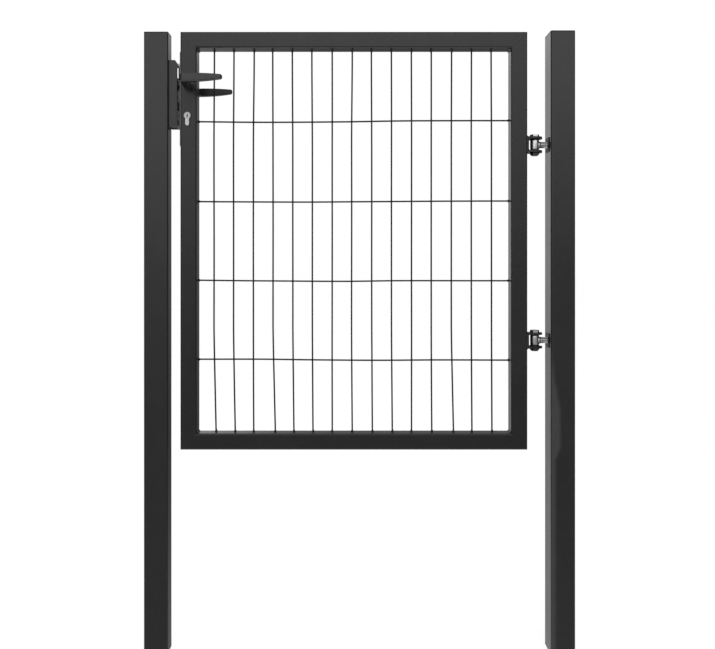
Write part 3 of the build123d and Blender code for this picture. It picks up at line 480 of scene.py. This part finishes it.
# ================================================================== welds of the frame and the hinge brackets
def bead(shells, a, b, radius, up, pitch=0.0026, ripple=0.10, flat=1.0, seed=0.0, wander=0.0002):
    """A laid bead from a to b with rippled scales and tapered ends."""
    a, b = Vector(a), Vector(b)
    n = max(12, int((b - a).length / 0.00055))
    side = (b - a).cross(Vector(up)).normalized()
    pts, radii = [], []
    for i in range(n + 1):
        t = i / n
        s = t * (b - a).length
        scale = 1 + ripple * (1 - abs(2 * ((s / pitch + 0.15 * math.sin(s * 700 + seed)) % 1) - 1)) - ripple / 2
        end = min(1.0, min(t, 1 - t) * (b - a).length / (radius * 0.9))
        pts.append(a + (b - a) * t + side * wobble(seed, s * 90, 2.0, wander))
        radii.append(max(radius * 0.05, radius * scale * math.sqrt(max(0.0, 1 - (1 - end) ** 2)) * (1 + wobble(seed, s * 160, 5.0, 0.10))))
    shells.tube(pts, radius, 12, up, radii, flat)


frame_welds = Shells()
for cx, cz, sx, sz in ((IN_X0, IN_Z0, 1, 1), (IN_X1, IN_Z0, -1, 1), (IN_X0, IN_Z1, 1, -1), (IN_X1, IN_Z1, -1, -1)):
    # fillet across the inside of the corner
    off = 0.0004
    bead(frame_welds, (cx + sx * off, -0.0162, cz + sz * off), (cx + sx * off, 0.0162, cz + sz * off), 0.0024, (sx, 0, sz), seed=cx * 9 + cz)
    # dressed seam along the mitre, front and rear
    ox, oz = cx - sx * 0.0358, cz - sz * 0.0358
    ix, iz = cx - sx * 0.0042, cz - sz * 0.0042
    for y in (-HALF, HALF):
        bead(frame_welds, (ix, y * 1.0, iz), (ox, y * 1.0, oz), 0.0020, (0, 1, 0), pitch=0.006, ripple=0.10, flat=0.06, seed=cx * 3 + y * 70, wander=0.0004)
    # dressed outer edge of the mitre
    bead(frame_welds, (cx - sx * 0.0396, -0.0155, cz - sz * 0.0396), (cx - sx * 0.0396, 0.0155, cz - sz * 0.0396), 0.0010, (sx, 0, sz), pitch=0.005, ripple=0.12, seed=cz * 5)
frame_welds.piece("frame_corner_welds", "leaf", mat_leaf)

bracket_welds = Shells()
for hz in HINGE_Z:
    for y in (-0.0182, 0.0182):
        bead(bracket_welds, (LEAF_X1 - 0.0002, y, hz - 0.0185), (LEAF_X1 - 0.0002, y, hz + 0.0185), 0.0024, (0, 1, 0), pitch=0.0030, ripple=0.16, seed=hz * 7 + y * 300)
    for dz in (-0.0193, 0.0193):
        bead(bracket_welds, (LEAF_X1 + 0.0002, -0.0160, hz + dz), (LEAF_X1 + 0.0002, 0.0160, hz + dz), 0.0024, (0, 0, 1), pitch=0.0030, ripple=0.16, seed=hz * 3 + dz * 500)
bracket_welds.piece("hinge_bracket_welds", "leaf", mat_leaf)


# ================================================================== forged eye bolts with a cut thread
def eye_bolt(name, node, hz):
    s = Shells()
    # the eye: a barrelled ring with rounded rims
    prof = []
    for z, r in ((-12.5, 9.4), (-12.3, 10.1), (-11.6, 10.55), (-10.0, 10.8), (-6.0, 10.97), (0.0, 11.0), (6.0, 10.97), (10.0, 10.8), (11.6, 10.55), (12.3, 10.1), (12.5, 9.4),
                 (12.5, 7.0), (12.25, 6.4), (11.8, 6.08), (4.0, 6.06), (-4.0, 6.06), (-11.8, 6.08), (-12.25, 6.4), (-12.5, 7.0)):
        prof.append((r * MM, z * MM))
    n = 56
    s.torus([[(HINGE_X + r * math.cos(2 * math.pi * i / n), r * math.sin(2 * math.pi * i / n), hz + z) for r, z in prof] for i in range(n)])
    # the shank: flared root, plain neck, then a 2 mm thread
    rings, sides = [], 36
    for d, r in ((7.2, 8.6), (8.4, 9.7), (9.6, 9.9), (10.8, 9.45), (12.0, 8.7), (13.2, 8.2), (14.4, 8.0), (15.2, 7.95), (15.8, 7.6)):
        rings.append([(HINGE_X + d * MM, r * MM * math.cos(2 * math.pi * j / sides), hz + r * MM * math.sin(2 * math.pi * j / sides)) for j in range(sides)])
    x0, x1, pitch = HINGE_X + 0.0162, POST_IN + 0.0372, 0.0020
    steps = int((x1 - x0) / pitch * 8)
    for i in range(steps + 1):
        x = x0 + (x1 - x0) * i / steps
        grow = ease((x - x0) / 0.0015) * ease((x1 - x) / 0.0015)
        ring = []
        for j in range(sides):
            ph = ((x - x0) / pitch - j / sides) % 1.0
            crest = min(1.0, max(0.0, (1 - abs(2 * ph - 1)) * 1.35 - 0.12))
            r = 0.00725 + 0.00068 * crest * grow
            ring.append((x, r * math.cos(2 * math.pi * j / sides), hz + r * math.sin(2 * math.pi * j / sides)))
        rings.append(ring)
    rings.append([(POST_IN + 0.0379, 0.0062 * math.cos(2 * math.pi * j / sides), hz + 0.0062 * math.sin(2 * math.pi * j / sides)) for j in range(sides)])
    s.rings(rings)
    s.piece(name, "posts", mat_zinc, (node,), 40)


eye_bolt("forged_eye_bolt_upper", "hinge_eye_upper", HINGE_Z[0])
eye_bolt("forged_eye_bolt_lower", "hinge_eye_lower", HINGE_Z[1])


# ================================================================== latch spring
def latch_spring():
    s = Shells()
    x0, x1, y, z, r, wire, sides = -0.42555, -0.40595, 0.0034, 1.411, 0.0023, 0.0004, 10
    turns, steps = 7.6, 190
    centres = []
    for i in range(steps + 1):
        t = i / steps
        # closed end coils, open coils between
        adv = ease((t - 0.10) / 0.80) * 0.12 + min(1.0, max(0.0, (t - 0.10) / 0.80)) * 0.80 + t * 0.08
        a = 2 * math.pi * turns * t
        centres.append((Vector((x0 + (x1 - x0) * adv, y + r * math.cos(a), z + r * math.sin(a))), Vector((0, math.cos(a), math.sin(a)))))
    rings = []
    for i, (c, out) in enumerate(centres):
        k = 0.55 if i in (0, steps) else 1.0
        rings.append([tuple(c + (out * math.cos(2 * math.pi * j / sides) + Vector((1, 0, 0)) * math.sin(2 * math.pi * j / sides)) * (wire * k)) for j in range(sides)])
    s.rings(rings)
    return s.piece("latch_coil_spring", "leaf", mat_zinc, ("latch_spring",), 40)


coil = latch_spring()
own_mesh(coil)


# ================================================================== floor, light, camera
def floor():
    bm = bmesh.new()
    bmesh.ops.create_grid(bm, x_segments=1, y_segments=1, size=400.0)
    me = bpy.data.meshes.new("floor")
    bm.to_mesh(me)
    bm.free()
    o = bpy.data.objects.new("floor", me)
    scene.collection.objects.link(o)
    m = Mat("pale_floor")
    m.p.inputs["Base Color"].default_value = (0.50, 0.50, 0.50, 1)
    m.p.inputs["Emission Color"].default_value = (1, 1, 1, 1)
    m.p.inputs["Emission Strength"].default_value = 0.815
    m.p.inputs["Specular IOR Level"].default_value = 0.0
    m.rough(m.rng(m.noise(3.0), 0.90, 0.98))
    me.materials.append(m.m)
    o.visible_glossy = False
    o.visible_diffuse = False
    return o


floor()


def area(name, loc, target, size, energy, spread=180, size_y=None):
    d = bpy.data.lights.new(name, "AREA")
    d.shape = "RECTANGLE"
    d.size = size
    d.size_y = size_y or size
    d.energy = energy
    d.spread = math.radians(spread)
    o = bpy.data.objects.new(name, d)
    o.location = loc
    o.rotation_euler = (Vector(target) - Vector(loc)).to_track_quat("-Z", "Y").to_euler()
    o.visible_camera = False
    scene.collection.objects.link(o)
    return o


area("overhead_softbox", (0.0, -0.6, 4.2), (0.0, 0.0, 0.8), 3.2, 18, 180, 2.4)
area("front_softbox", (0.2, -3.8, 3.4), (0.0, 0.0, 1.2), 2.4, 4, 180, 1.2)

area("rear_softbox", (0.3, 3.4, 3.2), (0.0, 0.0, 1.0), 2.6, 7, 180, 1.6)

world = bpy.data.worlds.new("studio")
scene.world = world
world.use_nodes = True
wt = world.node_tree
wt.nodes.clear()


def w_range(src, a, b, lo, hi):
    n = wt.nodes.new("ShaderNodeMapRange")
    n.interpolation_type = "SMOOTHSTEP"
    n.inputs["From Min"].default_value = a
    n.inputs["From Max"].default_value = b
    n.inputs["To Min"].default_value = lo
    n.inputs["To Max"].default_value = hi
    wt.links.new(src, n.inputs["Value"])
    return n.outputs["Result"]


def w_math(op, a, b):
    n = wt.nodes.new("ShaderNodeMath")
    n.operation = op
    wt.links.new(a, n.inputs[0])
    wt.links.new(b, n.inputs[1])
    return n.outputs[0]


w_out = wt.nodes.new("ShaderNodeOutputWorld")
w_mix = wt.nodes.new("ShaderNodeMixShader")
w_path = wt.nodes.new("ShaderNodeLightPath")
w_cam = wt.nodes.new("ShaderNodeBackground")
w_amb = wt.nodes.new("ShaderNodeBackground")
w_cam.inputs["Color"].default_value = (1, 1, 1, 1)
w_cam.inputs["Strength"].default_value = 1.0
w_co = wt.nodes.new("ShaderNodeTexCoord")
w_sep = wt.nodes.new("ShaderNodeSeparateXYZ")
wt.links.new(w_co.outputs["Generated"], w_sep.inputs["Vector"])
# in front a pale wall that is brighter above eye height, behind a pale panel to the left, dim at the sides
w_lean = wt.nodes.new("ShaderNodeVectorMath")
w_lean.operation = "DOT_PRODUCT"
w_lean.inputs[1].default_value = (-0.14, 0.0, 1.0)
wt.links.new(w_co.outputs["Generated"], w_lean.inputs[0])
wall = w_range(w_lean.outputs["Value"], 0.015, 0.155, 0.23, 1.20)
front = w_math("MULTIPLY", w_range(w_sep.outputs["Y"], -0.42, -0.85, 0.0, 1.0), wall)
panel = w_range(w_sep.outputs["X"], -0.21, -0.05, 0.98, 0.22)
edge = w_range(w_sep.outputs["X"], -0.62, -0.34, 0.10, 1.0)
rear = w_math("MULTIPLY", w_math("MULTIPLY", w_range(w_sep.outputs["Y"], 0.25, 0.75, 0.0, 1.0), panel), edge)
fade = w_math("MULTIPLY", w_range(w_sep.outputs["Z"], -0.34, 0.17, 0.35, 1.0), w_range(w_sep.outputs["Z"], 0.19, 0.32, 1.0, 0.55))
fade = w_math("MAXIMUM", fade, w_range(w_sep.outputs["X"], -0.285, -0.229, 1.1, 0.0))
rear = w_math("MULTIPLY", rear, fade)
sides = w_range(w_sep.outputs["Z"], -0.20, 0.60, 0.05, 0.16)
bounce = w_range(w_sep.outputs["Z"], -0.45, -0.90, 0.0, 1.10)
# pale floor seen past the sides and behind
w_abs = wt.nodes.new("ShaderNodeMath")
w_abs.operation = "ABSOLUTE"
wt.links.new(w_sep.outputs["X"], w_abs.inputs[0])
low = w_math("MULTIPLY", w_range(w_sep.outputs["Z"], -0.22, -0.45, 0.0, 1.0), w_range(w_sep.outputs["Y"], -0.80, -0.50, 0.0, 1.0))
low = w_math("MULTIPLY", low, w_range(w_abs.outputs[0], 0.36, 0.65, 0.20, 0.65))
w_level = w_math("ADD", w_math("ADD", w_math("ADD", front, rear), w_math("ADD", sides, bounce)), low)
w_amb.inputs["Color"].default_value = (1, 1, 1, 1)
wt.links.new(w_level, w_amb.inputs["Strength"])
wt.links.new(w_path.outputs["Is Camera Ray"], w_mix.inputs["Fac"])
wt.links.new(w_amb.outputs["Background"], w_mix.inputs[1])
wt.links.new(w_cam.outputs["Background"], w_mix.inputs[2])
wt.links.new(w_mix.outputs["Shader"], w_out.inputs["Surface"])

cam_data = bpy.data.cameras.new("camera")
cam = bpy.data.objects.new("camera", cam_data)
scene.collection.objects.link(cam)
cam.location = (-0.024, -1.870, 0.956)
cam.rotation_euler = (math.radians(90), 0, 0)
cam_data.sensor_width = 36.0
cam_data.lens = 37.85
cam_data.shift_x = 0.0116
cam_data.shift_y = -0.0836
cam_data.clip_start = 0.02
cam_data.clip_end = 1000
scene.camera = cam

scene.view_settings.view_transform = "Standard"
scene.view_settings.look = "None"
scene.view_settings.exposure = 0.0
scene.view_settings.gamma = 1.0
